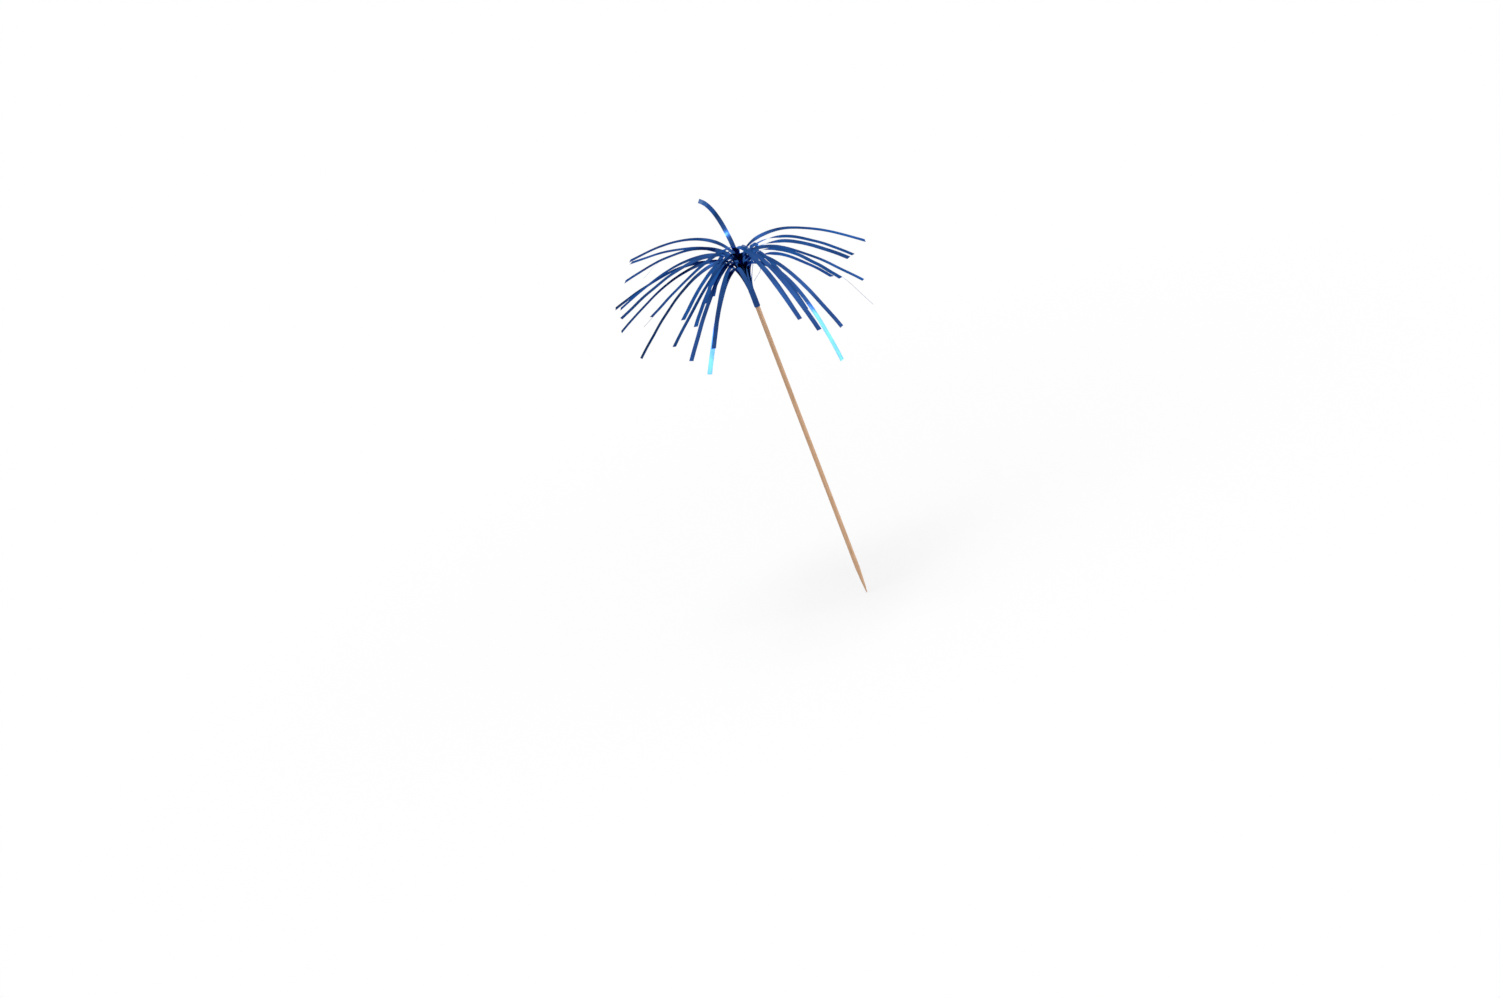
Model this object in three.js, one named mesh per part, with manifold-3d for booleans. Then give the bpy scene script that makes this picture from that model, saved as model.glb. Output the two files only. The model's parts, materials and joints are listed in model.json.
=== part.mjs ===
import * as THREE from 'three';
import { mergeVertices } from 'three/addons/utils/BufferGeometryUtils.js';
import Module from 'manifold-3d';

const wasm = await Module();
wasm.setup();

// A foil palm pick: a pointed bamboo stick whose blunt end is wrapped with a slit sheet of
// metallised film. The un-slit edge of the sheet is wound round the stick as a sleeve, and
// its strips rise from the sleeve's mouth, bend over and hang as palm leaves.
// Millimetres, +Z up along the stick, origin at the point of the stick.

// Bamboo stick
const STICK_DIAMETER = 2.0;
const STICK_LENGTH = 145;
const POINT_LENGTH = 12;
const POINT_DIAMETER = 0.3;
const TAPER_FULLNESS = 0.6;
const STICK_END_CHAMFER = 0.15;
const NODE_HEIGHT = 37;
const NODE_SWELL = 0.04;
const NODE_WIDTH = 1.6;

// Sleeve: the un-slit edge of the foil sheet, wound round the stick and glued
const SLEEVE_LENGTH = 8;
const SLEEVE_ABOVE_STICK = 1;
const GLUE_THICKNESS = 0.06;
const GLUE_LENGTH = 6;
const WINDING_THICKNESS = 0.16;
const OUTER_TURN_STEP = 0.06;

// Strips: what the sheet is slit into
const STRIP_WIDTH = 2.0;
const STRIP_LENGTH = 74.5;
const FOIL_THICKNESS = 0.15;
const FOLD_GAP = 0.3;
const ARCH_LENGTH = 18;

// Throat: the first stretch above the sleeve's mouth, where the strips still lie stacked.
// BURIED_SHARE is the share of its height below which a strip is lost in its wall.
const THROAT_LENGTH = 4;
const THROAT_INNER_FLARE = 0.26;
const THROAT_OUTER_FLARE = 0.75;
const THROAT_LAP = 0.4;
const THROAT_BELLY = 0.35;
const BURIED_SHARE = 0.75;

// Crown: where the strips bend over. Inner turns of the sheet rise higher and bend over
// nearer to the axis, so their leaves pass above those of the outer turns.
const CROWN_LOW = 8;
const CROWN_HIGH = 21;
const CROWN_RADIUS_LOW = 7.2;
const CROWN_RADIUS_HIGH = 4.2;
const ROOT_LEAN = 7;
const ROOT_STIFFNESS = 0.45;
const BEND_STIFFNESS = 0.36;

// Curled leaf: one strip that is torn off short and curls over at the mouth
const CURL_BEARING = -7;
const CURL_LEVEL = 0.45;
const CURL_RISE = 78;
const CURL_STALK = 3.5;
const CURL_RADIUS = 2.0;
const CURL_TIGHTENING = 0.25;
const CURL_TURN = 290;

const ROUND_SEGMENTS = 24;
const ROOT_STEPS = 6;
const ROOT_SAMPLES = 60;
const LEAF_STEPS = 12;
const LEAF_GRADING = 1.3;
const CURL_STEPS = 16;

// One row per leaf, anticlockwise seen from above: bearing round the stick in degrees,
// level of its bend between CROWN_LOW (0) and CROWN_HIGH (1), and the slope in degrees
// above the horizontal where it leaves the crown and where it ends.
const LEAVES = [
  [-170, 0.63, 8, -42],
  [-152, 0.77, 34, -18],
  [-134, 1.0, 6, -13],
  [-127, 0.8, -8, -24],
  [-120, 0.62, -1, -32],
  [-112, 0.35, 4, -35],
  [-106, 0.52, 12, -27],
  [-66, 0.95, 8, -48],
  [-57, 0.75, 16, -60],
  [-48, 0.5, 26, -57],
  [-40, 0.3, 8, -80],
  [-31, 0.65, 22, -38],
  [20, 0.74, 28, -40],
  [38, 0.56, 18, -44],
  [45, 0.42, 14, -42],
  [52, 0.3, 8, -49],
  [60, 0.12, 6, -43],
  [68, 0.5, 0, -68],
  [77, 0.25, -5, -62],
  [88, 0.68, -5, -28],
  [96, 0.3, -2, -30],
  [104, 1.0, 60, -9],
  [113, 0.46, -4, -36],
  [120, 0.74, -11, -42],
  [127, 0.35, -12, -42],
  [133, 0.55, -12, -39],
  [142, 0.62, 34, -10],
  [148, 0.94, 42, -15],
  [153, 0.76, 35, -19],
  [159, 0.36, 34, -22],
  [165, 0.68, 29, -26],
  [172, 0.52, 26, -32],
];

// Sizes that follow from the ones above
const stickRadius = STICK_DIAMETER / 2;
const glueRadius = stickRadius + GLUE_THICKNESS;
const sleeveRadius = glueRadius + WINDING_THICKNESS;
const sleeveTop = STICK_LENGTH + SLEEVE_ABOVE_STICK;
const wallMiddle = (glueRadius + sleeveRadius) / 2;

const bamboo = () => new THREE.MeshStandardMaterial({
  color: 0xc69a70,
  roughness: 0.72,
  metalness: 0,
});
const adhesive = () => new THREE.MeshStandardMaterial({
  color: 0xd8d2c0,
  roughness: 0.35,
  metalness: 0,
});
const foil = () => new THREE.MeshStandardMaterial({
  color: 0x1f4fa0,
  roughness: 0.22,
  metalness: 0.9,
});

// A step of the given length at the given slope above the horizontal, in degrees.
function along(slope, length) {
  const angle = THREE.MathUtils.degToRad(slope);
  return new THREE.Vector2(Math.cos(angle), Math.sin(angle)).multiplyScalar(length);
}

// The point at which a strip bends over: its distance from the axis and its height above
// the sleeve's mouth.
function bendPoint(level) {
  return new THREE.Vector2(
    THREE.MathUtils.lerp(CROWN_RADIUS_LOW, CROWN_RADIUS_HIGH, level),
    THREE.MathUtils.lerp(CROWN_LOW, CROWN_HIGH, level),
  );
}

// The fixed root of a strip in its radial plane, with heights from the sleeve's mouth: up
// out of the winding, flaring outwards, and over to the slope at which its leaf goes on.
function rootCurve(level, slope) {
  const start = new THREE.Vector2(wallMiddle, 0);
  const bend = bendPoint(level);
  const reach = start.distanceTo(bend);
  return new THREE.CubicBezierCurve(
    start,
    start.clone().add(along(90 - ROOT_LEAN, ROOT_STIFFNESS * reach)),
    bend.clone().sub(along(slope, BEND_STIFFNESS * reach)),
    bend,
  );
}

// A leaf in its radial plane, from its bend outwards. The slope falls quickly at first and
// then settles towards the end slope, as springy film does under its own set.
function leafPath(length, rise, droop) {
  const tail = Math.exp(-length / ARCH_LENGTH);
  const at = along(rise, FOLD_GAP / 2);
  const points = [at.clone()];
  let reached = FOLD_GAP / 2;
  for (let i = 1; i <= LEAF_STEPS; i += 1) {
    const next = Math.max(reached, length * (i / LEAF_STEPS) ** LEAF_GRADING);
    const middle = (reached + next) / 2;
    const fade = (Math.exp(-middle / ARCH_LENGTH) - tail) / (1 - tail);
    at.add(along(THREE.MathUtils.lerp(droop, rise, fade), next - reached));
    points.push(at.clone());
    reached = next;
  }
  return points;
}

// The short curled strip: a straight stalk, then an arc that turns outwards and back under,
// a little tighter towards its end.
function curlPath() {
  const at = along(CURL_RISE, FOLD_GAP / 2);
  const points = [at.clone()];
  at.add(along(CURL_RISE, CURL_STALK));
  points.push(at.clone());
  const turn = CURL_TURN / CURL_STEPS;
  for (let i = 0; i < CURL_STEPS; i += 1) {
    const radius = CURL_RADIUS * (1 - CURL_TIGHTENING * (i / CURL_STEPS));
    const chord = 2 * radius * Math.sin(THREE.MathUtils.degToRad(turn / 2));
    at.add(along(CURL_RISE - (i + 0.5) * turn, chord));
    points.push(at.clone());
  }
  return points;
}

// A strip of film: the side view of its path, as thick as the film, extruded to its width
// and stood in the XZ plane.
function stripGeometry(points) {
  const upper = [];
  const lower = [];
  points.forEach((point, i) => {
    const before = points[Math.max(i - 1, 0)];
    const after = points[Math.min(i + 1, points.length - 1)];
    const direction = after.clone().sub(before).normalize();
    const offset = new THREE.Vector2(-direction.y, direction.x).multiplyScalar(FOIL_THICKNESS / 2);
    upper.push(point.clone().add(offset));
    lower.push(point.clone().sub(offset));
  });
  const sideView = new THREE.Shape(lower.concat(upper.reverse()));
  const geometry = new THREE.ExtrudeGeometry(sideView, {
    depth: STRIP_WIDTH,
    steps: 1,
    bevelEnabled: false,
  });
  geometry.translate(0, 0, -STRIP_WIDTH / 2);
  geometry.rotateX(Math.PI / 2);
  return geometry;
}

function toSolid(geometry) {
  const bare = geometry.clone();
  bare.deleteAttribute('normal');
  bare.deleteAttribute('uv');
  const merged = mergeVertices(bare, 1e-5);
  return new wasm.Manifold(new wasm.Mesh({
    numProp: 3,
    vertProperties: new Float32Array(merged.attributes.position.array),
    triVerts: new Uint32Array(merged.index.array),
  }));
}

// The outer skin of a joined solid: pockets shut in between crossing strips are filled.
function outerSkin(solid) {
  const mesh = solid.getMesh();
  const corners = mesh.triVerts;
  const point = (i) => new THREE.Vector3().fromArray(mesh.vertProperties, i * mesh.numProp);
  const leader = Array.from({ length: mesh.numVert }, (_, i) => i);
  const find = (i) => {
    let at = i;
    while (leader[at] !== at) {
      leader[at] = leader[leader[at]];
      at = leader[at];
    }
    return at;
  };
  for (let i = 0; i < corners.length; i += 3) {
    leader[find(corners[i])] = find(corners[i + 1]);
    leader[find(corners[i + 1])] = find(corners[i + 2]);
  }
  const volumes = new Map();
  for (let i = 0; i < corners.length; i += 3) {
    const [a, b, c] = [point(corners[i]), point(corners[i + 1]), point(corners[i + 2])];
    const shell = find(corners[i]);
    volumes.set(shell, (volumes.get(shell) ?? 0) + a.dot(b.cross(c)));
  }
  const [[outer]] = [...volumes].sort((one, two) => two[1] - one[1]);
  const positions = [];
  for (let i = 0; i < corners.length; i += 1) {
    if (find(corners[i]) === outer) positions.push(...point(corners[i]).toArray());
  }
  const geometry = new THREE.BufferGeometry();
  geometry.setAttribute('position', new THREE.Float32BufferAttribute(positions, 3));
  geometry.computeVertexNormals();
  return geometry;
}

function namedMesh(name, geometry, material) {
  const mesh = new THREE.Mesh(geometry, material);
  mesh.name = name;
  return mesh;
}

function revolved(profile) {
  const points = profile.map(([r, z]) => new THREE.Vector2(r, z));
  const geometry = new THREE.LatheGeometry(points, ROUND_SEGMENTS);
  geometry.rotateX(Math.PI / 2);
  return geometry;
}

// Pointed at the bottom with a slightly full taper, a faint swelling at the bamboo's node
// and a broken edge at the blunt end.
function makeStick() {
  const taperMiddle = THREE.MathUtils.lerp(POINT_DIAMETER / 2, stickRadius, TAPER_FULLNESS);
  return namedMesh('bamboo_stick', revolved([
    [0, 0],
    [POINT_DIAMETER / 2, 0],
    [taperMiddle, POINT_LENGTH / 2],
    [stickRadius, POINT_LENGTH],
    [stickRadius, NODE_HEIGHT - NODE_WIDTH],
    [stickRadius + NODE_SWELL, NODE_HEIGHT],
    [stickRadius, NODE_HEIGHT + NODE_WIDTH],
    [stickRadius, STICK_LENGTH - STICK_END_CHAMFER],
    [stickRadius - STICK_END_CHAMFER, STICK_LENGTH],
    [0, STICK_LENGTH],
  ]), bamboo());
}

function makeGlue() {
  const top = STICK_LENGTH - STICK_END_CHAMFER;
  const bottom = top - GLUE_LENGTH;
  return namedMesh('glue_layer', revolved([
    [stickRadius, bottom],
    [glueRadius, bottom],
    [glueRadius, top],
    [stickRadius, top],
    [stickRadius, bottom],
  ]), adhesive());
}

// A point on a circle round the stick, at a share of a full turn.
function roundTheStick(radius, turn) {
  return [radius * Math.sin(turn * Math.PI * 2), radius * Math.cos(turn * Math.PI * 2)];
}

// The sleeve's section is a ring whose outside is one turn of a spiral, so the free edge of
// the outer turn stands as a straight step along the sleeve.
function sleeveSolid() {
  const section = new THREE.Shape();
  section.moveTo(...roundTheStick(sleeveRadius, 0));
  for (let i = 1; i <= ROUND_SEGMENTS; i += 1) {
    const turn = i / ROUND_SEGMENTS;
    section.lineTo(...roundTheStick(sleeveRadius + OUTER_TURN_STEP * turn, turn));
  }
  const bore = new THREE.Path();
  bore.moveTo(...roundTheStick(glueRadius, 0));
  for (let i = ROUND_SEGMENTS - 1; i > 0; i -= 1) {
    bore.lineTo(...roundTheStick(glueRadius, i / ROUND_SEGMENTS));
  }
  section.holes.push(bore);
  const geometry = new THREE.ExtrudeGeometry(section, {
    depth: SLEEVE_LENGTH,
    steps: 1,
    bevelEnabled: false,
  });
  geometry.translate(0, 0, sleeveTop - SLEEVE_LENGTH);
  return toSolid(geometry);
}

// The throat flares out as one wall and laps down inside the sleeve's own wall.
function throatSolid() {
  const outerTop = sleeveRadius + THROAT_OUTER_FLARE;
  const outerMiddle = THREE.MathUtils.lerp(sleeveRadius, outerTop, THROAT_BELLY);
  const innerTop = glueRadius + THROAT_INNER_FLARE;
  const geometry = revolved([
    [wallMiddle, -THROAT_LAP],
    [(wallMiddle + sleeveRadius) / 2, -THROAT_LAP],
    [sleeveRadius, 0],
    [outerMiddle, THROAT_LENGTH / 2],
    [outerTop, THROAT_LENGTH],
    [innerTop, THROAT_LENGTH],
    [wallMiddle, 0],
    [wallMiddle, -THROAT_LAP],
  ]);
  geometry.translate(0, 0, sleeveTop);
  return toSolid(geometry);
}

// A strip's root from inside the throat's wall up to its bend.
function rootSolid(curve, bearing, slope) {
  const points = curve.getSpacedPoints(ROOT_SAMPLES);
  const buried = points.filter((point) => point.y < THROAT_LENGTH * BURIED_SHARE).length;
  const kept = [];
  for (let i = 0; i < ROOT_STEPS; i += 1) {
    const share = i / ROOT_STEPS;
    kept.push(points[Math.round(THREE.MathUtils.lerp(buried, points.length - 1, share))]);
  }
  kept.push(points[points.length - 1].clone().sub(along(slope, FOLD_GAP / 2)));
  const geometry = stripGeometry(kept);
  geometry.translate(0, 0, sleeveTop);
  geometry.rotateZ(THREE.MathUtils.degToRad(bearing));
  return toSolid(geometry);
}

// Each leaf hangs from a group at its bend, turned to its bearing, so that the group's own
// Y axis is the line about which the leaf folds.
function makeLeaf(name, bearing, level, geometry) {
  const bend = bendPoint(level);
  const turned = new THREE.Group();
  turned.rotation.z = THREE.MathUtils.degToRad(bearing);
  const fold = new THREE.Group();
  fold.position.set(bend.x, 0, sleeveTop + bend.y);
  fold.add(namedMesh(name, geometry, foil()));
  turned.add(fold);
  return turned;
}

const pick = new THREE.Group();
pick.add(makeStick());
pick.add(makeGlue());

let header = sleeveSolid().add(throatSolid());
LEAVES.forEach(([bearing, level, rise, droop], i) => {
  const curve = rootCurve(level, rise);
  header = header.add(rootSolid(curve, bearing, rise));
  const name = `frond_${String(i + 1).padStart(2, '0')}`;
  const path = leafPath(STRIP_LENGTH - curve.getLength(), rise, droop);
  pick.add(makeLeaf(name, bearing, level, stripGeometry(path)));
});

header = header.add(rootSolid(rootCurve(CURL_LEVEL, CURL_RISE), CURL_BEARING, CURL_RISE));
pick.add(makeLeaf('curled_frond', CURL_BEARING, CURL_LEVEL, stripGeometry(curlPath())));
pick.add(namedMesh('fringe_header', outerSkin(header), foil()));

export default pick;
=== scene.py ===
"""Looks of a foil palm pick: a bamboo stick, a wound foil sleeve and arching foil leaves."""

import json
import math
import random
from collections import namedtuple

import bpy
from bpy.props import FloatProperty, FloatVectorProperty, IntProperty, PointerProperty
from bpy.types import Operator, Panel, PropertyGroup
from mathutils import Matrix, Vector

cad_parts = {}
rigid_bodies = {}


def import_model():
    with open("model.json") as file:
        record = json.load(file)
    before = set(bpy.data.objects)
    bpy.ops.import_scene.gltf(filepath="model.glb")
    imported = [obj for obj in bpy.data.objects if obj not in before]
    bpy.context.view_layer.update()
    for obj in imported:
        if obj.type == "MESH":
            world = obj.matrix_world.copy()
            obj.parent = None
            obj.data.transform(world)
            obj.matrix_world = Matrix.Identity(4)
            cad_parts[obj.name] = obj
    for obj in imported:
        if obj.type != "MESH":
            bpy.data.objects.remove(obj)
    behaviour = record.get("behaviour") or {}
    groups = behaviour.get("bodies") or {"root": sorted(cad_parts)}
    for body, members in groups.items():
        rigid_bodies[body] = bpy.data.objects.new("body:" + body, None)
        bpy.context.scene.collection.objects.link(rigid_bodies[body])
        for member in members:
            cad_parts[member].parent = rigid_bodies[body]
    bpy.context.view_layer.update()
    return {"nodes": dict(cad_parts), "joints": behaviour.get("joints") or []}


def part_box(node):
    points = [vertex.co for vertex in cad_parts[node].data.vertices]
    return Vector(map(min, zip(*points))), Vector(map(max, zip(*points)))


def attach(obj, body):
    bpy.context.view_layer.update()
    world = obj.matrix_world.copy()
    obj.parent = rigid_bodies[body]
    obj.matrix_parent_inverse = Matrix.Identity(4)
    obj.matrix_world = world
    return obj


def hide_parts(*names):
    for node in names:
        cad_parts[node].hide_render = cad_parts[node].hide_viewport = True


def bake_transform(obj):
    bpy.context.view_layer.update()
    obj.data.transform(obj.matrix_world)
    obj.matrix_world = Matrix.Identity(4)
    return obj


bl_info = {
    "name": "Foil palm pick",
    "version": (1, 0, 0),
    "blender": (4, 5, 0),
    "location": "3D View > Sidebar > Palm pick",
    "description": "Models a bamboo food pick with a head of arching foil leaves",
    "category": "Add Mesh",
}

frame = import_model()

MM = 0.001
STICK_NODE = "bamboo_stick"
GLUE_NODE = "glue_layer"
HEADER_NODE = "fringe_header"
CURL_NODE = "curled_frond"
HEADER_BODY = frame["joints"][0]["parent"]
STICK_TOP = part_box(STICK_NODE)[1].z
SLEEVE_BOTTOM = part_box(HEADER_NODE)[0].z
GLUE_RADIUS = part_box(GLUE_NODE)[1].x

# Where a leaf bends over; its level is 0 for the lowest bend, of the outer turns, and 1 for the highest
Hinge = namedtuple("Hinge", "node bearing radius height level")
# A point of a guide curve, its two handles and the turn of the film about the curve
Knot = namedtuple("Knot", "at before after tilt", defaults=(None, None, 0.0))
# A hair of film: its leaf, the shares of the leaf's length and width where it comes off, bearing and
# slope of its free end in degrees, and its length
Sliver = namedtuple("Sliver", "node along across bearing slope length")


def read_hinges():
    """The hinge of every leaf, from the frame's joints."""
    heights = [joint["pos_m"][2] for joint in frame["joints"]]
    lowest, highest = min(heights), max(heights)
    hinges = []
    for joint in frame["joints"]:
        x, y, height = joint["pos_m"]
        level = (height - lowest) / (highest - lowest)
        hinges.append(Hinge(joint["child"], math.atan2(y, x), math.hypot(x, y), height, level))
    return hinges


HINGES = read_hinges()
# Degrees that single leaves are turned further at their tips
LEAF_TURNS = {
    "frond_05": -9, "frond_06": -16, "frond_11": 8, "frond_14": -8, "frond_15": -12,
    "frond_16": -20, "frond_17": -10, "frond_22": -42, "frond_23": 15, "frond_24": 15,
    "frond_25": 25, "frond_26": 25,
}
# The slivers that the slitting left on leaves
SLIVERS = (
    Sliver("frond_16", 0.98, 0, -27, -56, 19 * MM),
    Sliver("frond_08", 0.6, 0, -154, -43, 6 * MM),
    Sliver("frond_29", 0.7, 1, -164, -22, 10 * MM),
    Sliver("frond_03", 0.98, 1, -163, -25, 7 * MM),
    Sliver("frond_13", 0.55, 0, 0, -20, 9 * MM),
)


class StickSettings(PropertyGroup):
    """Sizes and colours of the bamboo stick."""

    diameter: FloatProperty(
        name="Diameter", description="Thickness of the stick", default=2.0 * MM, unit="LENGTH"
    )
    point_length: FloatProperty(
        name="Point length", description="How far the taper reaches up", default=12 * MM, unit="LENGTH"
    )
    point_diameter: FloatProperty(
        name="Point diameter", description="Blunt width of the point", default=0.3 * MM, unit="LENGTH"
    )
    node_height: FloatProperty(
        name="Node height", description="Height of the bamboo's node ring", default=37 * MM, unit="LENGTH"
    )
    node_swell: FloatProperty(
        name="Node swell", description="How far the node stands out", default=0.04 * MM, unit="LENGTH"
    )
    pale: FloatVectorProperty(
        name="Pale wood", description="Colour between the fibres",
        default=(0.66, 0.42, 0.255), subtype="COLOR", min=0, max=1,
    )
    dark: FloatVectorProperty(
        name="Dark wood", description="Colour of the darker fibres",
        default=(0.43, 0.235, 0.125), subtype="COLOR", min=0, max=1,
    )
    warm: FloatVectorProperty(
        name="Warm wood", description="Colour that the wood drifts towards in places",
        default=(0.56, 0.33, 0.18), subtype="COLOR", min=0, max=1,
    )
    vessel: FloatVectorProperty(
        name="Vessels", description="Colour of the short dark dashes",
        default=(0.2, 0.105, 0.05), subtype="COLOR", min=0, max=1,
    )


class FoilSettings(PropertyGroup):
    """Sizes and colours of the slit foil sheet."""

    strip_width: FloatProperty(
        name="Strip width", description="Width between two slits", default=2.0 * MM, unit="LENGTH"
    )
    film: FloatProperty(
        name="Film thickness", description="Thickness of a leaf", default=0.05 * MM, unit="LENGTH"
    )
    sleeve_above_stick: FloatProperty(
        name="Sleeve above stick", description="Mouth of the sleeve above the stick's end",
        default=1.0 * MM, unit="LENGTH",
    )
    turns: FloatProperty(
        name="Turns", description="Outer turns of the winding that are modelled", default=3.4, min=1
    )
    winding: FloatProperty(
        name="Winding thickness", description="Wall of the wound sleeve", default=0.2 * MM, unit="LENGTH"
    )
    turn_stagger: FloatProperty(
        name="Turn stagger", description="How far each turn sits above the one inside it",
        default=0.07 * MM, unit="LENGTH",
    )
    flatten_length: FloatProperty(
        name="Flattening length", description="Length over which a strip loses the sleeve's curve",
        default=10 * MM, unit="LENGTH",
    )
    leaf_crown: FloatProperty(
        name="Leaf crown", description="Radius of the slight hollow that stays across a leaf",
        default=16 * MM, unit="LENGTH",
    )
    ripple: FloatProperty(
        name="Ripple", description="Height of the long waves along a leaf", default=0.12 * MM, unit="LENGTH"
    )
    slant_at_head: FloatProperty(
        name="Slant at the head", description="How far off the front a leaf's face may turn at its root",
        default=math.radians(32), subtype="ANGLE",
    )
    slant_at_tip: FloatProperty(
        name="Slant at the tip", description="How far off the front a leaf's face may turn at its tip",
        default=math.radians(60), subtype="ANGLE",
    )
    sliver_width: FloatProperty(
        name="Sliver width", description="Width of the slivers that the slitting left",
        default=0.14 * MM, unit="LENGTH",
    )
    twist: FloatProperty(
        name="Twist", description="Most that a leaf twists further by chance",
        default=math.radians(8), subtype="ANGLE",
    )
    curl_swing: FloatProperty(
        name="Curl swing", description="How far the torn strip's curl turns aside from its root",
        default=math.radians(-36), subtype="ANGLE",
    )
    deep: FloatVectorProperty(
        name="Deep blue", description="Darkest tint of the film",
        default=(0.0155, 0.057, 0.225), subtype="COLOR", min=0, max=1,
    )
    bright: FloatVectorProperty(
        name="Bright blue", description="Lightest tint of the film",
        default=(0.033, 0.13, 0.435), subtype="COLOR", min=0, max=1,
    )
    glancing: FloatVectorProperty(
        name="Glancing blue", description="Tint of the film where it is seen from nearly edge-on",
        default=(0.27, 0.5, 0.92), subtype="COLOR", min=0, max=1,
    )
    seed: IntProperty(name="Seed", description="Start of the random draws", default=7)


class StageSettings(PropertyGroup):
    """Camera, lamps and floor."""

    lens: FloatProperty(name="Lens", description="Focal length in millimetres", default=84)
    camera_at: FloatVectorProperty(
        name="Camera position", description="Where the photograph was taken from",
        default=(0.1497, -1.4045, 0.5554), subtype="TRANSLATION",
    )
    camera_right: FloatVectorProperty(
        name="Camera right", description="Direction to the right of the picture",
        default=(0.9389, 0.0, -0.3443), subtype="DIRECTION",
    )
    camera_forward: FloatVectorProperty(
        name="Camera forward", description="Direction in which the camera looks",
        default=(-0.1215, 0.9356, -0.3314), subtype="DIRECTION",
    )
    floor_radius: FloatProperty(
        name="Floor radius", description="Size of the round floor", default=3.0, unit="LENGTH"
    )
    ambient: FloatProperty(name="Ambient", description="Light from all round", default=0.6)
    dome: FloatProperty(
        name="Dome", description="Brightness of the dim side that the foil mirrors", default=0.4
    )
    room_scale: FloatProperty(
        name="Room scale", description="Fineness of the darker patches that the foil mirrors", default=2.2
    )
    room_dark: FloatProperty(
        name="Room dark", description="Brightness of those darker patches", default=0.62
    )
    dim_side: FloatVectorProperty(
        name="Dim side", description="Where the studio that the foil mirrors is dimmest",
        default=(-0.8, 0.4, 0.45), subtype="DIRECTION",
    )
    floor_mirrored: FloatProperty(
        name="Floor mirrored", description="Brightness of the floor that the foil mirrors", default=0.6
    )


def radial(slope, length):
    """A step in a radial plane: so far outwards and so far up."""
    return Vector((math.cos(slope), 0, math.sin(slope))) * length


def smooth_step(share):
    """0 to 1, level at both ends."""
    share = min(max(share, 0.0), 1.0)
    return share * share * (3 - 2 * share)


def deselect_all():
    """Leaves edit mode and drops whatever is selected."""
    if bpy.context.object and bpy.context.object.mode != "OBJECT":
        bpy.ops.object.mode_set(mode="OBJECT")
    bpy.ops.object.select_all(action="DESELECT")


def make_active(piece):
    """Selects this piece alone."""
    deselect_all()
    piece.select_set(True)
    bpy.context.view_layer.objects.active = piece


def apply_modifier(piece, kind, **values):
    """Adds a modifier with these values and applies it."""
    make_active(piece)
    bpy.ops.object.modifier_add(type=kind)
    modifier = piece.modifiers[-1]
    for key, value in values.items():
        setattr(modifier, key, value)
    bpy.ops.object.modifier_apply(modifier=modifier.name)


def apply_place(piece):
    """Moves a piece's place and turn into its mesh."""
    make_active(piece)
    bpy.ops.object.transform_apply(location=True, rotation=True, scale=True)


def flat_film(name, length, width, steps, across):
    """A flat stretch of film in the XY plane, from X = 0 to its length."""
    deselect_all()
    bpy.ops.mesh.primitive_grid_add(x_subdivisions=steps, y_subdivisions=across, size=1)
    film = bpy.context.object
    film.name = name
    bpy.ops.object.mode_set(mode="EDIT")
    bpy.ops.mesh.select_all(action="SELECT")
    bpy.ops.transform.translate(value=(0.5, 0, 0))
    bpy.ops.transform.resize(value=(length, width, 1), center_override=(0, 0, 0))
    bpy.ops.object.mode_set(mode="OBJECT")
    return film


def guide_curve(knots):
    """A Bezier curve through the knots, smooth wherever a knot has no handles of its own."""
    curve = bpy.data.curves.new("guide", "CURVE")
    curve.dimensions = "3D"
    curve.resolution_u = 24
    curve.twist_mode = "MINIMUM"
    spline = curve.splines.new("BEZIER")
    spline.bezier_points.add(len(knots) - 1)
    for point, knot in zip(spline.bezier_points, knots):
        point.co = knot.at
        point.tilt = knot.tilt
        if knot.before is None:
            point.handle_left_type = point.handle_right_type = "AUTO"
        else:
            point.handle_left_type = point.handle_right_type = "FREE"
            point.handle_left = knot.before
            point.handle_right = knot.after
    guide = bpy.data.objects.new("guide", curve)
    bpy.context.scene.collection.objects.link(guide)
    bpy.context.view_layer.update()
    return guide


def lay_along(film, guide):
    """Bends the film along the guide and deletes the guide."""
    apply_modifier(film, "CURVE", object=guide, deform_axis="POS_X")
    bpy.data.objects.remove(guide)


def finish_film(film, thickness):
    """Gives the film its thickness and smooth faces."""
    sharp_edge = math.radians(40)
    apply_modifier(film, "SOLIDIFY", thickness=thickness, offset=0)
    make_active(film)
    bpy.ops.object.shade_smooth_by_angle(angle=sharp_edge)


def leaf_stations(node, bearing):
    """Middle line of a leaf in its radial plane, read off the CAD node from its root to its tip."""
    station_gap = 0.3 * MM
    digits = 7
    outwards = Vector((math.cos(bearing), math.sin(bearing), 0))
    corners = {
        (round(vertex.co.dot(outwards), digits), round(vertex.co.z, digits))
        for vertex in frame["nodes"][node].data.vertices
    }
    groups = []
    for corner in sorted(corners):
        if not groups or corner[0] - groups[-1][-1][0] > station_gap:
            groups.append([])
        groups[-1].append(corner)
    stations = []
    for group in groups:
        middle = [sum(values) / len(group) for values in zip(*group)]
        stations.append(Vector((middle[0], 0, middle[1])))
    return stations


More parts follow.
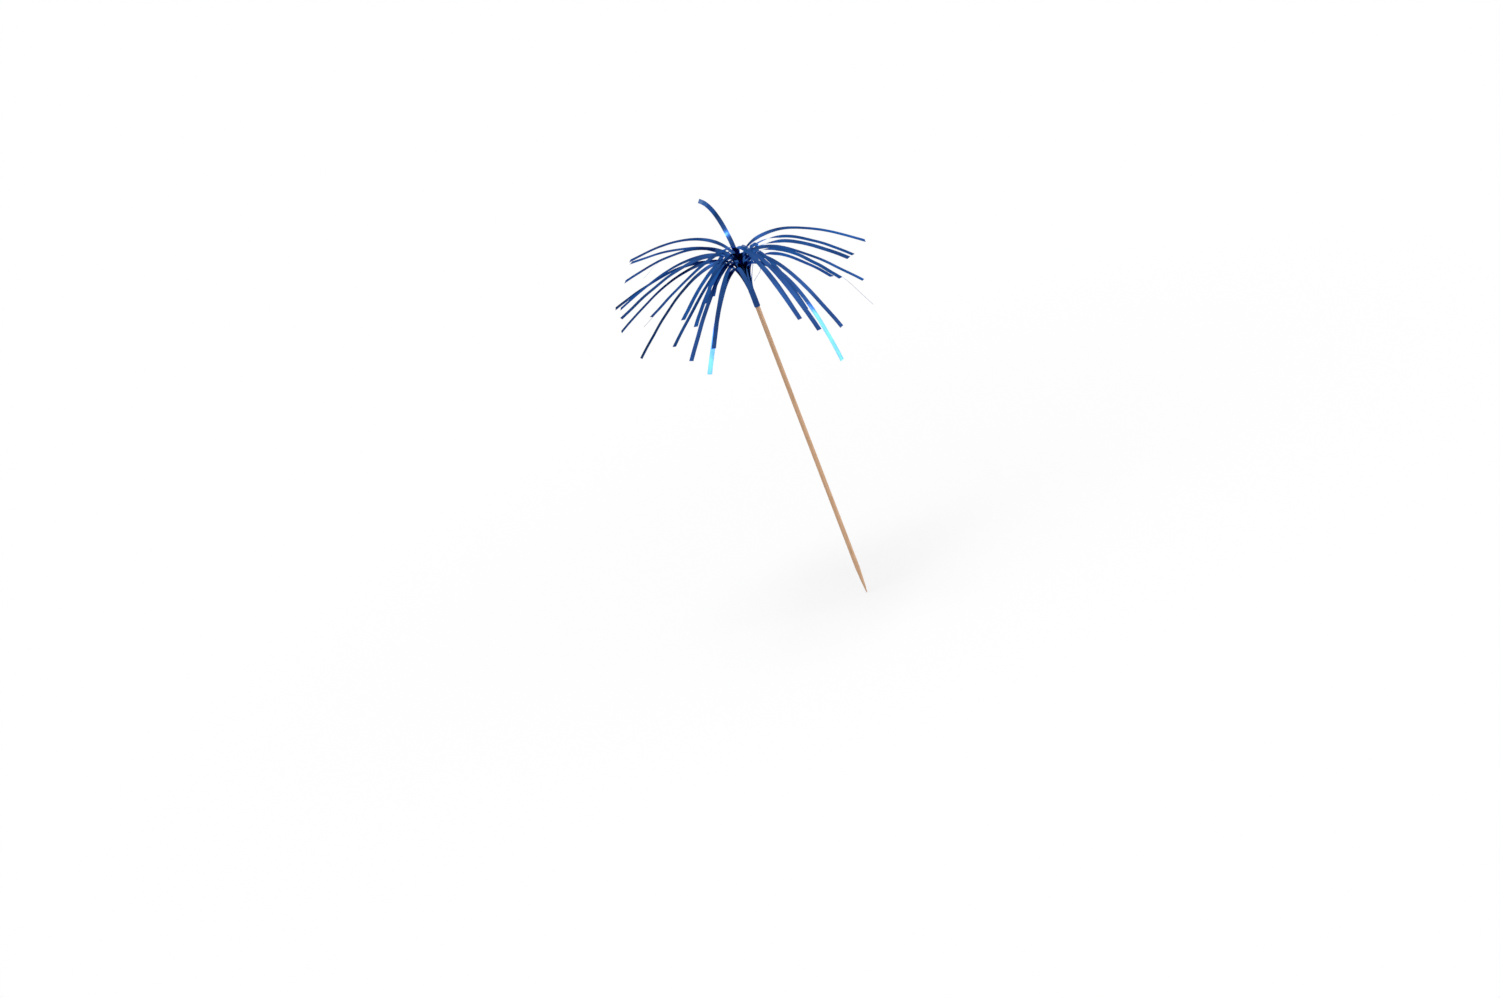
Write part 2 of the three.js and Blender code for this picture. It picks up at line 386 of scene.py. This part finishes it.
def leaf_twists(hinge, stations, extra):
    """Twist at each station after the first, which shows the leaf's nearer face to the front."""
    foil = bpy.context.scene.pick_foil
    front = Vector((0.1, -0.95, 0.29))
    # Shares of the leaf's length: the twist starts this far before the leaf lies edge-on to the front,
    # starts here at the latest, takes this long, and allows the tip's slant from here on
    lead = 0.12
    latest = 0.24
    settling = 0.22
    slanted_by = 0.6
    extra_growth = 0.7
    turn = Matrix.Rotation(hinge.bearing, 3, "Z")
    side = (turn @ Vector((0, -1, 0))).dot(front)
    slants = []
    for near, far in zip(stations, stations[1:]):
        along = (far - near).normalized()
        face = (turn @ Vector((-along.z, 0, along.x))).dot(front)
        slants.append(math.atan2(side, face))
    shown = 0.0
    if abs(slants[len(slants) // 2]) > math.pi / 2:
        shown = math.copysign(math.pi, side)
    offs = [slant - shown for slant in slants]
    edge_on = next(i for i, off in enumerate(offs) if abs(off) < math.pi / 2) / len(offs)
    start = min(max(edge_on - lead, 0.0), latest)
    twists = []
    for i, off in enumerate(offs, 1):
        share = i / len(offs)
        slanting = smooth_step(share / slanted_by)
        widest = foil.slant_at_head + (foil.slant_at_tip - foil.slant_at_head) * slanting
        twist = math.copysign(max(abs(off) - widest, 0.0), off)
        twist *= smooth_step((share - start) / settling)
        twists.append(twist + extra * share**extra_growth)
    return twists


def curl_stations(hinge, swing):
    """Middle line of the short strip that curls over: a stalk, then an arc that tightens."""
    rise = math.radians(78)
    turn = math.radians(290)
    gap = 0.15 * MM
    stalk = 3.5 * MM
    radius = 2.0 * MM
    tightening = 0.25
    steps = 16
    aside = Matrix.Rotation(swing, 3, "Z")
    at = Vector((hinge.radius, 0, hinge.height)) + radial(rise, gap)
    stations = [at.copy()]
    at += radial(rise, stalk)
    stations.append(at.copy())
    for i in range(steps):
        chord = 2 * radius * (1 - tightening * i / steps) * math.sin(turn / steps / 2)
        at += aside @ radial(rise - (i + 0.5) * turn / steps, chord)
        stations.append(at.copy())
    return stations


def strip_knots(hinge, stations, twists):
    """The whole line of a strip: out of the sleeve's mouth, over the bend and along its leaf."""
    foil = bpy.context.scene.pick_foil
    root_lean = math.radians(7)
    root_stiffness = 0.45
    bend_stiffness = 0.36
    mouth = STICK_TOP + foil.sleeve_above_stick
    start = Vector((GLUE_RADIUS + foil.winding * (1 - hinge.level), 0, mouth))
    bend = Vector((hinge.radius, 0, hinge.height))
    reach = (bend - start).length
    first = stations[0] - bend
    over = first.normalized()
    upwards = radial(math.pi / 2 - root_lean, root_stiffness * reach)
    onwards = over * ((stations[1] - bend).length / 3)
    knots = [
        Knot(start, start - upwards, start + upwards),
        Knot(bend, bend - over * bend_stiffness * reach, bend + onwards),
    ]
    for station, twist in zip(stations[1:], twists):
        knots.append(Knot(station, tilt=twist))
    return knots


def shape_strip(film, length, draw):
    """Hollows a flat strip: round as the sleeve at its root, nearly flat along its leaf."""
    foil = bpy.context.scene.pick_foil
    least_bend, most_bend = 0.5, 1.3
    shortest_wave, longest_wave = 11, 30
    wave_count = 3
    most_slant = 0.14
    cut_start, cut_reach = 0.9, 0.1
    sleeve_bend = 1 / (GLUE_RADIUS + foil.winding / 2)
    leaf_bend = draw.uniform(least_bend, most_bend) / foil.leaf_crown
    waves = [
        (draw.uniform(shortest_wave, longest_wave) * MM, draw.uniform(0, 2 * math.pi))
        for _ in range(wave_count)
    ]
    slant = draw.uniform(-most_slant, most_slant)
    for vertex in film.data.vertices:
        along, across = vertex.co.x, vertex.co.y
        bend = sleeve_bend + (leaf_bend - sleeve_bend) * smooth_step(along / foil.flatten_length)
        ripple = sum(math.sin(2 * math.pi * along / wave + phase) for wave, phase in waves) / wave_count
        free = smooth_step((along - foil.flatten_length) / (2 * foil.flatten_length))
        vertex.co.x = along + slant * across * smooth_step((along / length - cut_start) / cut_reach)
        vertex.co.y = math.sin(across * bend) / bend
        vertex.co.z = (1 - math.cos(across * bend)) / bend + foil.ripple * free * ripple


def finish_leaf(piece, hinge):
    """Turns a strip to its bearing, moves the turn into its mesh and hides the leaf's CAD node.
    """
    piece.rotation_euler.z = hinge.bearing
    apply_place(piece)
    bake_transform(piece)
    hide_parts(hinge.node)


def make_strip(hinge, stations, twists, draw, step=0.8 * MM):
    """One strip of the slit sheet, from the sleeve's mouth to its tip."""
    foil = bpy.context.scene.pick_foil
    across = 6
    guide = guide_curve(strip_knots(hinge, stations, twists))
    length = guide.data.splines[0].calc_length()
    steps = round(length / step)
    strip = flat_film(f"foil_{hinge.node}", length, foil.strip_width, steps, across)
    shape_strip(strip, length, draw)
    lay_along(strip, guide)
    finish_film(strip, foil.film)
    strip.data.materials.append(foil_material())
    finish_leaf(strip, hinge)
    return strip


def film_point(piece, along, across):
    """The point of a finished film at these shares of its length and width, off its UV map."""
    corners = piece.data.uv_layers.active.data
    wanted = Vector((along, across))
    nearest = min(piece.data.loops, key=lambda loop: (corners[loop.index].uv - wanted).length)
    return piece.data.vertices[nearest.vertex_index].co.copy()


def new_material(name):
    """An empty node material and its nodes, links and main shader."""
    material = bpy.data.materials.new(name)
    material.use_nodes = True
    nodes = material.node_tree.nodes
    links = material.node_tree.links
    return material, nodes, links, nodes["Principled BSDF"]


def mapped(nodes, links, output, scale):
    """The coordinates of a texture, stretched by scale."""
    coordinates = nodes.new("ShaderNodeTexCoord")
    mapping = nodes.new("ShaderNodeMapping")
    mapping.inputs["Scale"].default_value = scale
    links.new(coordinates.outputs[output], mapping.inputs["Vector"])
    return mapping.outputs["Vector"]


def noise(nodes, links, vector, scale, detail=2.0, roughness=0.5):
    """A noise texture's grey value."""
    texture = nodes.new("ShaderNodeTexNoise")
    texture.inputs["Scale"].default_value = scale
    texture.inputs["Detail"].default_value = detail
    texture.inputs["Roughness"].default_value = roughness
    links.new(vector, texture.inputs["Vector"])
    return texture.outputs["Fac"]


def ramp(nodes, links, value, stops):
    """A colour ramp with the given (position, colour) stops."""
    node = nodes.new("ShaderNodeValToRGB")
    elements = node.color_ramp.elements
    while len(elements) < len(stops):
        elements.new(0.5)
    for element, (position, colour) in zip(elements, stops):
        element.position = position
        element.color = (*colour, 1) if len(colour) == 3 else colour
    links.new(value, node.inputs["Fac"])
    return node.outputs["Color"]


def grey(value):
    """A grey colour."""
    return (value, value, value)


def mix_colour(nodes, links, factor, first, second, blend="MIX"):
    """Mixes two colours, each a socket or a plain colour."""
    node = nodes.new("ShaderNodeMix")
    node.data_type = "RGBA"
    node.blend_type = blend
    sockets = (("Factor", factor), ("A", first), ("B", second))
    for name, value in sockets:
        kind = "VALUE" if name == "Factor" else "RGBA"
        socket = next(s for s in node.inputs if s.name == name and s.type == kind)
        if isinstance(value, bpy.types.NodeSocket):
            links.new(value, socket)
        else:
            socket.default_value = value if name == "Factor" else (*value, 1)
    return next(s for s in node.outputs if s.type == "RGBA")


def bump(nodes, links, height, strength, distance, under=None):
    """A bump that reads a height, over another bump if there is one."""
    node = nodes.new("ShaderNodeBump")
    node.inputs["Strength"].default_value = strength
    node.inputs["Distance"].default_value = distance
    links.new(height, node.inputs["Height"])
    if under is not None:
        links.new(under, node.inputs["Normal"])
    return node.outputs["Normal"]


def foil_material():
    """Blue metallised film: a tinted mirror with faint lines along it and soft dents."""
    if "blue_film" in bpy.data.materials:
        return bpy.data.materials["blue_film"]
    foil = bpy.context.scene.pick_foil
    material, nodes, links, shader = new_material("blue_film")
    drift = noise(nodes, links, mapped(nodes, links, "Object", (1, 1, 1)), scale=55, detail=3)
    lines = noise(nodes, links, mapped(nodes, links, "UV", (2.2, 30, 1)), scale=1, detail=3)
    patches = noise(nodes, links, mapped(nodes, links, "UV", (14, 1.2, 1)), scale=1)
    tint = ramp(nodes, links, drift, [(0.32, foil.deep[:]), (0.68, foil.bright[:])])
    lined = ramp(nodes, links, lines, [(0.35, grey(0)), (0.75, grey(0.35))])
    tint = mix_colour(nodes, links, lined, tint, foil.bright[:])
    links.new(tint, shader.inputs["Base Color"])
    dullness = ramp(nodes, links, patches, [(0.3, grey(0.12)), (0.7, grey(0.22))])
    links.new(dullness, shader.inputs["Roughness"])
    shader.inputs["Metallic"].default_value = 1.0
    shader.inputs["Specular Tint"].default_value = (*foil.glancing, 1)
    shader.inputs["Coat Weight"].default_value = 0.16
    shader.inputs["Coat Roughness"].default_value = 0.12
    drawn = bump(nodes, links, lines, strength=0.15, distance=0.02 * MM)
    dented = bump(nodes, links, patches, strength=0.25, distance=0.15 * MM, under=drawn)
    links.new(dented, shader.inputs["Normal"])
    return material


def bamboo_material():
    """Machine-rounded bamboo: long fibres, a slow change of tint and the dark dashes of its vessels."""
    stick = bpy.context.scene.pick_stick
    material, nodes, links, shader = new_material("bamboo")
    fibres = noise(
        nodes, links, mapped(nodes, links, "Object", (1, 1, 0.02)), scale=5200, detail=4, roughness=0.6
    )
    drift = noise(nodes, links, mapped(nodes, links, "Object", (1, 1, 0.12)), scale=420)
    vessels = noise(nodes, links, mapped(nodes, links, "Object", (1, 1, 0.045)), scale=3300, detail=1)
    tint = ramp(nodes, links, fibres, [(0.3, stick.dark[:]), (0.62, stick.pale[:])])
    warmed = ramp(nodes, links, drift, [(0.35, grey(0)), (0.75, grey(0.55))])
    tint = mix_colour(nodes, links, warmed, tint, stick.warm[:])
    dashes = ramp(nodes, links, vessels, [(0.66, grey(0)), (0.72, grey(0.7))])
    tint = mix_colour(nodes, links, dashes, tint, stick.vessel[:])
    links.new(tint, shader.inputs["Base Color"])
    dullness = ramp(nodes, links, fibres, [(0.3, grey(0.68)), (0.7, grey(0.5))])
    links.new(dullness, shader.inputs["Roughness"])
    raised = bump(nodes, links, fibres, strength=0.35, distance=0.06 * MM)
    links.new(raised, shader.inputs["Normal"])
    return material


def glue_material():
    """Dried clear glue, slightly milky."""
    dull = (0.62, 0.58, 0.5)
    milky = (0.78, 0.75, 0.68)
    material, nodes, links, shader = new_material("dried_glue")
    cloud = noise(nodes, links, mapped(nodes, links, "Object", (1, 1, 1)), scale=900)
    tint = ramp(nodes, links, cloud, [(0.3, dull), (0.7, milky)])
    links.new(tint, shader.inputs["Base Color"])
    shader.inputs["Roughness"].default_value = 0.3
    return material


class PICK_OT_stick(Operator):
    """Model the bamboo stick with its taper, node ring and chamfered top"""

    bl_idname = "pick.stick"
    bl_label = "Bamboo stick"

    def rings(self, stick):
        """Height and radius of each ring, from the point up."""
        radius = stick.diameter / 2
        point = stick.point_diameter / 2
        fullness = 0.74
        taper_rings = 14
        chamfer = 0.15 * MM
        for i in range(1, taper_rings + 1):
            share = i / taper_rings
            yield stick.point_length * share, point + (radius - point) * share**fullness
        node_rings = 12
        reach = 1.6 * MM
        scar_ring = 3
        scar_depth = 0.5 * stick.node_swell
        for i in range(-node_rings, node_rings + 1):
            share = i / node_rings
            ridge = stick.node_swell * math.cos(share * math.pi / 2) ** 2
            scar = scar_depth if i == scar_ring else 0.0
            yield stick.node_height + reach * share, radius + ridge - scar
        yield STICK_TOP - chamfer, radius
        yield STICK_TOP, radius - chamfer

    def execute(self, context):
        stick = context.scene.pick_stick
        sides = 48
        sharp_edge = math.radians(35)
        deselect_all()
        radius = stick.point_diameter / 2
        height = 0.0
        bpy.ops.mesh.primitive_circle_add(vertices=sides, radius=radius, fill_type="NGON")
        piece = context.object
        piece.name = "bamboo_skewer"
        bpy.ops.object.mode_set(mode="EDIT")
        bpy.ops.mesh.select_all(action="SELECT")
        for ring_height, ring_radius in self.rings(stick):
            bpy.ops.mesh.extrude_region_move(
                TRANSFORM_OT_translate={"value": (0, 0, ring_height - height)}
            )
            share = ring_radius / radius
            bpy.ops.transform.resize(
                value=(share, share, 1), center_override=(0, 0, ring_height)
            )
            height, radius = ring_height, ring_radius
        bpy.ops.mesh.select_all(action="SELECT")
        bpy.ops.mesh.normals_make_consistent(inside=False)
        bpy.ops.object.mode_set(mode="OBJECT")
        bpy.ops.object.shade_smooth_by_angle(angle=sharp_edge)
        piece.data.materials.append(bamboo_material())
        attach(piece, HEADER_BODY)
        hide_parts(STICK_NODE)
        frame["nodes"][GLUE_NODE].data.materials.clear()
        frame["nodes"][GLUE_NODE].data.materials.append(glue_material())
        return {"FINISHED"}


class PICK_OT_sleeve(Operator):
    """Wind the un-slit edge of the foil sheet round the stick"""

    bl_idname = "pick.sleeve"
    bl_label = "Wound sleeve"

    def execute(self, context):
        foil = context.scene.pick_foil
        knots_per_turn = 12
        steps_per_turn = 48
        rows = 20
        turn_thinning = 0.6
        height = STICK_TOP + foil.sleeve_above_stick - SLEEVE_BOTTOM
        inner = GLUE_RADIUS + foil.film / 2
        outer = GLUE_RADIUS + foil.winding
        count = round(foil.turns * knots_per_turn)
        free_edge = math.radians(55)
        knots = []
        for i in range(count + 1):
            angle = free_edge + 2 * math.pi * (i - count) / knots_per_turn
            radius = inner + (outer - inner) * i / count
            at = Vector((math.cos(angle), math.sin(angle), 0)) * radius
            knots.append(Knot(at + Vector((0, 0, SLEEVE_BOTTOM + height / 2))))
        guide = guide_curve(knots)
        guide.data.twist_mode = "Z_UP"
        length = guide.data.splines[0].calc_length()
        steps = round(foil.turns * steps_per_turn)
        sleeve = flat_film("wound_sleeve", length, height, steps, rows)
        draw = random.Random(foil.seed)
        crease_count = 26
        creases = [
            (draw.uniform(0, length), draw.uniform(-0.5, 0.5) * height) for _ in range(crease_count)
        ]
        crease_reach = 0.7 * MM
        crease_depth = 0.012 * MM
        # Creases run up the sleeve, so a height counts for less than a length round it
        height_counts = 0.4
        flats = 5
        flat_depth = 0.02 * MM
        flat_lean = 0.9
        for vertex in sleeve.data.vertices:
            along, across = vertex.co.x, vertex.co.y
            wave = foil.turns * along / length * flats + flat_lean * across / height
            dent = flat_depth * math.sin(2 * math.pi * wave)
            for crease_along, crease_across in creases:
                above = (across - crease_across) * height_counts
                apart = math.hypot(along - crease_along, above)
                dent += crease_depth * math.exp(-((apart / crease_reach) ** 2))
            lift = foil.turn_stagger * foil.turns * along / length
            vertex.co = Vector((along, -dent, across + lift * (0.5 - across / height)))
        lay_along(sleeve, guide)
        finish_film(sleeve, foil.film * turn_thinning)
        sleeve.data.materials.append(foil_material())
        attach(sleeve, HEADER_BODY)
        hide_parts(HEADER_NODE)
        return {"FINISHED"}


class PICK_OT_leaves(Operator):
    """Cut the strips from the sheet and bend each one over as a palm leaf"""

    bl_idname = "pick.leaves"
    bl_label = "Palm leaves"

    def execute(self, context):
        foil = context.scene.pick_foil
        for i, hinge in enumerate(HINGES):
            if hinge.node == CURL_NODE:
                continue
            draw = random.Random(foil.seed + i)
            stations = leaf_stations(hinge.node, hinge.bearing)
            extra = draw.uniform(-1, 1) * foil.twist + math.radians(LEAF_TURNS.get(hinge.node, 0))
            make_strip(hinge, stations, leaf_twists(hinge, stations, extra), draw)
        return {"FINISHED"}


class PICK_OT_curl(Operator):
    """Bend the short torn strip into its curl at the mouth"""

    bl_idname = "pick.curl"
    bl_label = "Curled leaf"

    def execute(self, context):
        foil = context.scene.pick_foil
        hinge = next(hinge for hinge in HINGES if hinge.node == CURL_NODE)
        stations = curl_stations(hinge, foil.curl_swing)
        twists = [foil.curl_swing] * (len(stations) - 1)
        fine_step = 0.25 * MM
        make_strip(hinge, stations, twists, random.Random(foil.seed), fine_step)
        return {"FINISHED"}


class PICK_OT_slivers(Operator):
    """Lay the hair-thin slivers of film that hang off a few leaves"""

    bl_idname = "pick.slivers"
    bl_label = "Slivers"

    def execute(self, context):
        foil = context.scene.pick_foil
        steps, across = 24, 1
        look_back = 0.06
        before_end, past_end = 0.6, 1.2
        for i, sliver in enumerate(SLIVERS, 1):
            leaf = bpy.data.objects[f"foil_{sliver.node}"]
            start = film_point(leaf, sliver.along, sliver.across)
            before = film_point(leaf, sliver.along - look_back, sliver.across)
            onwards = (start - before).normalized()
            bearing = Matrix.Rotation(math.radians(sliver.bearing), 3, "Z")
            free = bearing @ radial(math.radians(sliver.slope), sliver.length)
            guide = guide_curve([
                Knot(start, start, start + onwards * sliver.length / 3),
                Knot(start + free, start + free * before_end, start + free * past_end),
            ])
            length = guide.data.splines[0].calc_length()
            piece = flat_film(f"foil_sliver_{i}", length, foil.sliver_width, steps, across)
            lay_along(piece, guide)
            finish_film(piece, foil.film)
            piece.data.materials.append(foil_material())
            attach(piece, sliver.node)
        return {"FINISHED"}


class PICK_OT_stage(Operator):
    """Set up the camera, the lamps, the floor and the white surroundings"""

    bl_idname = "pick.stage"
    bl_label = "Stage"

    def camera(self, stage):
        """The camera where the photograph was taken from."""
        right = Vector(stage.camera_right).normalized()
        back = -Vector(stage.camera_forward).normalized()
        up = back.cross(right).normalized()
        data = bpy.data.cameras.new("camera")
        data.lens = stage.lens
        data.clip_start = 0.01
        camera = bpy.data.objects.new("camera", data)
        turn = Matrix((right, up, back)).transposed().to_4x4()
        camera.matrix_world = Matrix.Translation(Vector(stage.camera_at)) @ turn
        bpy.context.scene.collection.objects.link(camera)
        bpy.context.scene.camera = camera

    def lamp(self, name, direction, distance, size, brightness):
        """A square soft lamp that faces the head of the pick."""
        head = Vector((0, 0, STICK_TOP))
        data = bpy.data.lights.new(name, "AREA")
        data.size = size
        data.energy = brightness * math.pi * size * size
        lamp = bpy.data.objects.new(name, data)
        towards = Vector(direction).normalized()
        lamp.location = head + towards * distance
        lamp.rotation_mode = "QUATERNION"
        lamp.rotation_quaternion = towards.to_track_quat("Z", "Y")
        bpy.context.scene.collection.objects.link(lamp)

    def white_rays(self, nodes, links):
        """1 for the rays that see a white background: camera, glossy and transmission."""
        path = nodes.new("ShaderNodeLightPath")
        total = path.outputs["Is Camera Ray"]
        for name in ("Is Glossy Ray", "Is Transmission Ray"):
            either = nodes.new("ShaderNodeMath")
            either.operation = "MAXIMUM"
            links.new(total, either.inputs[0])
            links.new(path.outputs[name], either.inputs[1])
            total = either.outputs["Value"]
        return total

    def world(self, stage):
        """White to the camera, a softer white as light, and in reflections white with dimmer parts."""
        dim_edge = 0.7
        world = bpy.data.worlds.new("studio")
        world.use_nodes = True
        bpy.context.scene.world = world
        nodes, links = world.node_tree.nodes, world.node_tree.links
        background = nodes["Background"]
        strength = nodes.new("ShaderNodeMapRange")
        strength.inputs["To Min"].default_value = stage.ambient
        strength.inputs["To Max"].default_value = 1.0
        links.new(self.white_rays(nodes, links), strength.inputs["Value"])
        links.new(strength.outputs["Result"], background.inputs["Strength"])
        direction = nodes.new("ShaderNodeTexCoord")
        shade = nodes.new("ShaderNodeVectorMath")
        shade.operation = "DOT_PRODUCT"
        shade.inputs[1].default_value = stage.dim_side
        links.new(direction.outputs["Generated"], shade.inputs[0])
        dome = nodes.new("ShaderNodeMapRange")
        dome.interpolation_type = "SMOOTHSTEP"
        dome.inputs["From Min"].default_value = dim_edge
        dome.inputs["From Max"].default_value = 1.0
        dome.inputs["To Min"].default_value = 1.0
        dome.inputs["To Max"].default_value = stage.dome
        links.new(shade.outputs["Value"], dome.inputs["Value"])
        room = noise(nodes, links, direction.outputs["Generated"], scale=stage.room_scale, detail=1.5)
        room = ramp(nodes, links, room, [(0.44, grey(1)), (0.58, grey(stage.room_dark))])
        mirrored = mix_colour(nodes, links, 1.0, dome.outputs["Result"], room, "MULTIPLY")
        path = nodes.new("ShaderNodeLightPath")
        seen = mix_colour(nodes, links, path.outputs["Is Glossy Ray"], grey(1), mirrored)
        links.new(seen, background.inputs["Color"])

    def floor(self, stage):
        """A pale round floor under the point that melts into the background further out."""
        gap = 0.2 * MM
        sides = 96
        fade_start, fade_end = 0.05, 0.4
        share_at_point = 0.55
        deselect_all()
        bpy.ops.mesh.primitive_circle_add(
            vertices=sides, radius=stage.floor_radius, fill_type="NGON", location=(0, 0, -gap)
        )
        floor = bpy.context.object
        floor.name = "floor"
        apply_place(floor)
        material, nodes, links, shader = new_material("pale_floor")
        shader.inputs["Base Color"].default_value = (0.93, 0.93, 0.93, 1)
        shader.inputs["Roughness"].default_value = 0.6
        shader.inputs["Specular IOR Level"].default_value = 0.2
        coordinates = nodes.new("ShaderNodeTexCoord")
        distance = nodes.new("ShaderNodeVectorMath")
        distance.operation = "LENGTH"
        links.new(coordinates.outputs["Object"], distance.inputs[0])
        fade = nodes.new("ShaderNodeMapRange")
        fade.interpolation_type = "SMOOTHSTEP"
        fade.inputs["From Min"].default_value = fade_start
        fade.inputs["From Max"].default_value = fade_end
        fade.inputs["To Min"].default_value = share_at_point
        links.new(distance.outputs["Value"], fade.inputs["Value"])
        share = nodes.new("ShaderNodeMath")
        share.operation = "MULTIPLY"
        links.new(fade.outputs["Result"], share.inputs[0])
        links.new(self.white_rays(nodes, links), share.inputs[1])
        path = nodes.new("ShaderNodeLightPath")
        mirrored = nodes.new("ShaderNodeMapRange")
        mirrored.inputs["To Min"].default_value = 1.0
        mirrored.inputs["To Max"].default_value = stage.floor_mirrored
        links.new(path.outputs["Is Glossy Ray"], mirrored.inputs["Value"])
        glow = nodes.new("ShaderNodeEmission")
        links.new(mirrored.outputs["Result"], glow.inputs["Strength"])
        mix = nodes.new("ShaderNodeMixShader")
        links.new(share.outputs["Value"], mix.inputs["Fac"])
        links.new(shader.outputs["BSDF"], mix.inputs[1])
        links.new(glow.outputs["Emission"], mix.inputs[2])
        links.new(mix.outputs["Shader"], nodes["Material Output"].inputs["Surface"])
        floor.data.materials.append(material)

    def execute(self, context):
        stage = context.scene.pick_stage
        self.camera(stage)
        self.lamp("key", (-0.45, -0.35, 0.85), distance=1.5, size=0.9, brightness=1.8)
        self.lamp("side", (0.97, -0.22, 0.06), distance=1.4, size=0.5, brightness=8.5)
        self.lamp("top", (-0.02, -0.1, 1.0), distance=1.4, size=0.5, brightness=9.0)
        self.world(stage)
        self.floor(stage)
        context.scene.view_settings.view_transform = "Standard"
        return {"FINISHED"}


class PICK_PT_panel(Panel):
    """The steps of the pick, in order."""

    bl_label = "Palm pick"
    bl_idname = "PICK_PT_panel"
    bl_space_type = "VIEW_3D"
    bl_region_type = "UI"
    bl_category = "Palm pick"

    def draw(self, context):
        for operator in OPERATORS:
            self.layout.operator(operator.bl_idname)
        for settings in SETTINGS:
            group = getattr(context.scene, settings)
            column = self.layout.column()
            for key in group.bl_rna.properties.keys():
                if key not in ("rna_type", "name"):
                    column.prop(group, key)


SETTINGS = {
    "pick_stick": StickSettings,
    "pick_foil": FoilSettings,
    "pick_stage": StageSettings,
}
OPERATORS = (
    PICK_OT_stage,
    PICK_OT_stick,
    PICK_OT_sleeve,
    PICK_OT_leaves,
    PICK_OT_curl,
    PICK_OT_slivers,
)


def register():
    """Registers the settings, the operators and the panel."""
    for name, group in SETTINGS.items():
        bpy.utils.register_class(group)
        setattr(bpy.types.Scene, name, PointerProperty(type=group))
    for operator in (*OPERATORS, PICK_PT_panel):
        bpy.utils.register_class(operator)


def unregister():
    """Removes what register added."""
    for operator in (PICK_PT_panel, *reversed(OPERATORS)):
        bpy.utils.unregister_class(operator)
    for name, group in SETTINGS.items():
        delattr(bpy.types.Scene, name)
        bpy.utils.unregister_class(group)


def main():
    """Builds the pick and its stage."""
    register()
    bpy.ops.pick.stage()
    bpy.ops.pick.stick()
    bpy.ops.pick.sleeve()
    bpy.ops.pick.leaves()
    bpy.ops.pick.curl()
    bpy.ops.pick.slivers()
    deselect_all()


if __name__ == "__main__":
    main()
